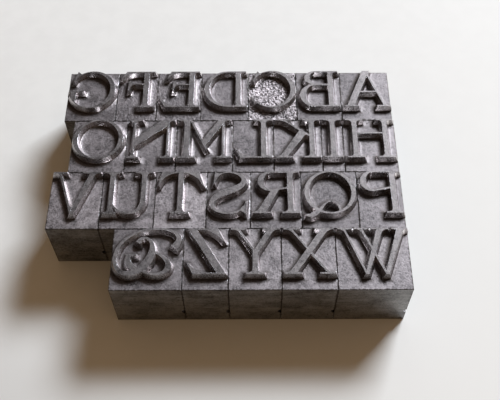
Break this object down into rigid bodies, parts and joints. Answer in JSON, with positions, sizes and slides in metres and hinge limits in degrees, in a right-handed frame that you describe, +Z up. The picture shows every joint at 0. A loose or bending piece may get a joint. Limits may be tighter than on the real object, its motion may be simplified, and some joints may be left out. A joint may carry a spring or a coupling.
{
  "type": "letterpress type",
  "caption": "Set of loose cast metal printing sorts standing face up in four close rows, each a square-sided body with a raised mirror-image roman capital on its shoulder",
  "frame": {"origin": "centre of the set's footprint, on the surface the sorts stand on", "axes": "+Z up, from the feet to the printing face; -Y the foot side of the letters, facing the person who sets them; +X to that person's right, along the rows"},
  "size_m": [0.1128, 0.0846, 0.0233],
  "materials": {
    "type_metal": "as cast, dull grey"
  },
  "bodies": {
    "sort_a": {"sort_a": "type_metal"},
    "sort_b": {"sort_b": "type_metal"},
    "sort_c": {"sort_c": "type_metal"},
    "sort_d": {"sort_d": "type_metal"},
    "sort_e": {"sort_e": "type_metal"},
    "sort_f": {"sort_f": "type_metal"},
    "sort_g": {"sort_g": "type_metal"},
    "sort_h": {"sort_h": "type_metal"},
    "sort_i": {"sort_i": "type_metal"},
    "sort_k": {"sort_k": "type_metal"},
    "sort_l": {"sort_l": "type_metal"},
    "sort_m": {"sort_m": "type_metal"},
    "sort_n": {"sort_n": "type_metal"},
    "sort_o": {"sort_o": "type_metal"},
    "sort_p": {"sort_p": "type_metal"},
    "sort_q": {"sort_q": "type_metal"},
    "sort_r": {"sort_r": "type_metal"},
    "sort_s": {"sort_s": "type_metal"},
    "sort_t": {"sort_t": "type_metal"},
    "sort_u": {"sort_u": "type_metal"},
    "sort_v": {"sort_v": "type_metal"},
    "sort_w": {"sort_w": "type_metal"},
    "sort_x": {"sort_x": "type_metal"},
    "sort_y": {"sort_y": "type_metal"},
    "sort_z": {"sort_z": "type_metal"},
    "sort_and": {"sort_and": "type_metal"}
  },
  "joints": [
    {"name": "lift_a", "type": "slide", "parent": "sort_s", "child": "sort_a", "axis": [0, 0, 1], "range_m": [0, 0.03]},
    {"name": "lift_b", "type": "slide", "parent": "sort_s", "child": "sort_b", "axis": [0, 0, 1], "range_m": [0, 0.03]},
    {"name": "lift_c", "type": "slide", "parent": "sort_s", "child": "sort_c", "axis": [0, 0, 1], "range_m": [0, 0.03]},
    {"name": "lift_d", "type": "slide", "parent": "sort_s", "child": "sort_d", "axis": [0, 0, 1], "range_m": [0, 0.03]},
    {"name": "lift_e", "type": "slide", "parent": "sort_s", "child": "sort_e", "axis": [0, 0, 1], "range_m": [0, 0.03]},
    {"name": "lift_f", "type": "slide", "parent": "sort_s", "child": "sort_f", "axis": [0, 0, 1], "range_m": [0, 0.03]},
    {"name": "lift_g", "type": "slide", "parent": "sort_s", "child": "sort_g", "axis": [0, 0, 1], "range_m": [0, 0.03]},
    {"name": "lift_h", "type": "slide", "parent": "sort_s", "child": "sort_h", "axis": [0, 0, 1], "range_m": [0, 0.03]},
    {"name": "lift_i", "type": "slide", "parent": "sort_s", "child": "sort_i", "axis": [0, 0, 1], "range_m": [0, 0.03]},
    {"name": "lift_k", "type": "slide", "parent": "sort_s", "child": "sort_k", "axis": [0, 0, 1], "range_m": [0, 0.03]},
    {"name": "lift_l", "type": "slide", "parent": "sort_s", "child": "sort_l", "axis": [0, 0, 1], "range_m": [0, 0.03]},
    {"name": "lift_m", "type": "slide", "parent": "sort_s", "child": "sort_m", "axis": [0, 0, 1], "range_m": [0, 0.03]},
    {"name": "lift_n", "type": "slide", "parent": "sort_s", "child": "sort_n", "axis": [0, 0, 1], "range_m": [0, 0.03]},
    {"name": "lift_o", "type": "slide", "parent": "sort_s", "child": "sort_o", "axis": [0, 0, 1], "range_m": [0, 0.03]},
    {"name": "lift_p", "type": "slide", "parent": "sort_s", "child": "sort_p", "axis": [0, 0, 1], "range_m": [0, 0.03]},
    {"name": "lift_q", "type": "slide", "parent": "sort_s", "child": "sort_q", "axis": [0, 0, 1], "range_m": [0, 0.03]},
    {"name": "lift_r", "type": "slide", "parent": "sort_s", "child": "sort_r", "axis": [0, 0, 1], "range_m": [0, 0.03]},
    {"name": "lift_t", "type": "slide", "parent": "sort_s", "child": "sort_t", "axis": [0, 0, 1], "range_m": [0, 0.03]},
    {"name": "lift_u", "type": "slide", "parent": "sort_s", "child": "sort_u", "axis": [0, 0, 1], "range_m": [0, 0.03]},
    {"name": "lift_v", "type": "slide", "parent": "sort_s", "child": "sort_v", "axis": [0, 0, 1], "range_m": [0, 0.03]},
    {"name": "lift_w", "type": "slide", "parent": "sort_s", "child": "sort_w", "axis": [0, 0, 1], "range_m": [0, 0.03]},
    {"name": "lift_x", "type": "slide", "parent": "sort_s", "child": "sort_x", "axis": [0, 0, 1], "range_m": [0, 0.03]},
    {"name": "lift_y", "type": "slide", "parent": "sort_s", "child": "sort_y", "axis": [0, 0, 1], "range_m": [0, 0.03]},
    {"name": "lift_z", "type": "slide", "parent": "sort_s", "child": "sort_z", "axis": [0, 0, 1], "range_m": [0, 0.03]},
    {"name": "lift_and", "type": "slide", "parent": "sort_s", "child": "sort_and", "axis": [0, 0, 1], "range_m": [0, 0.03]}
  ]
}
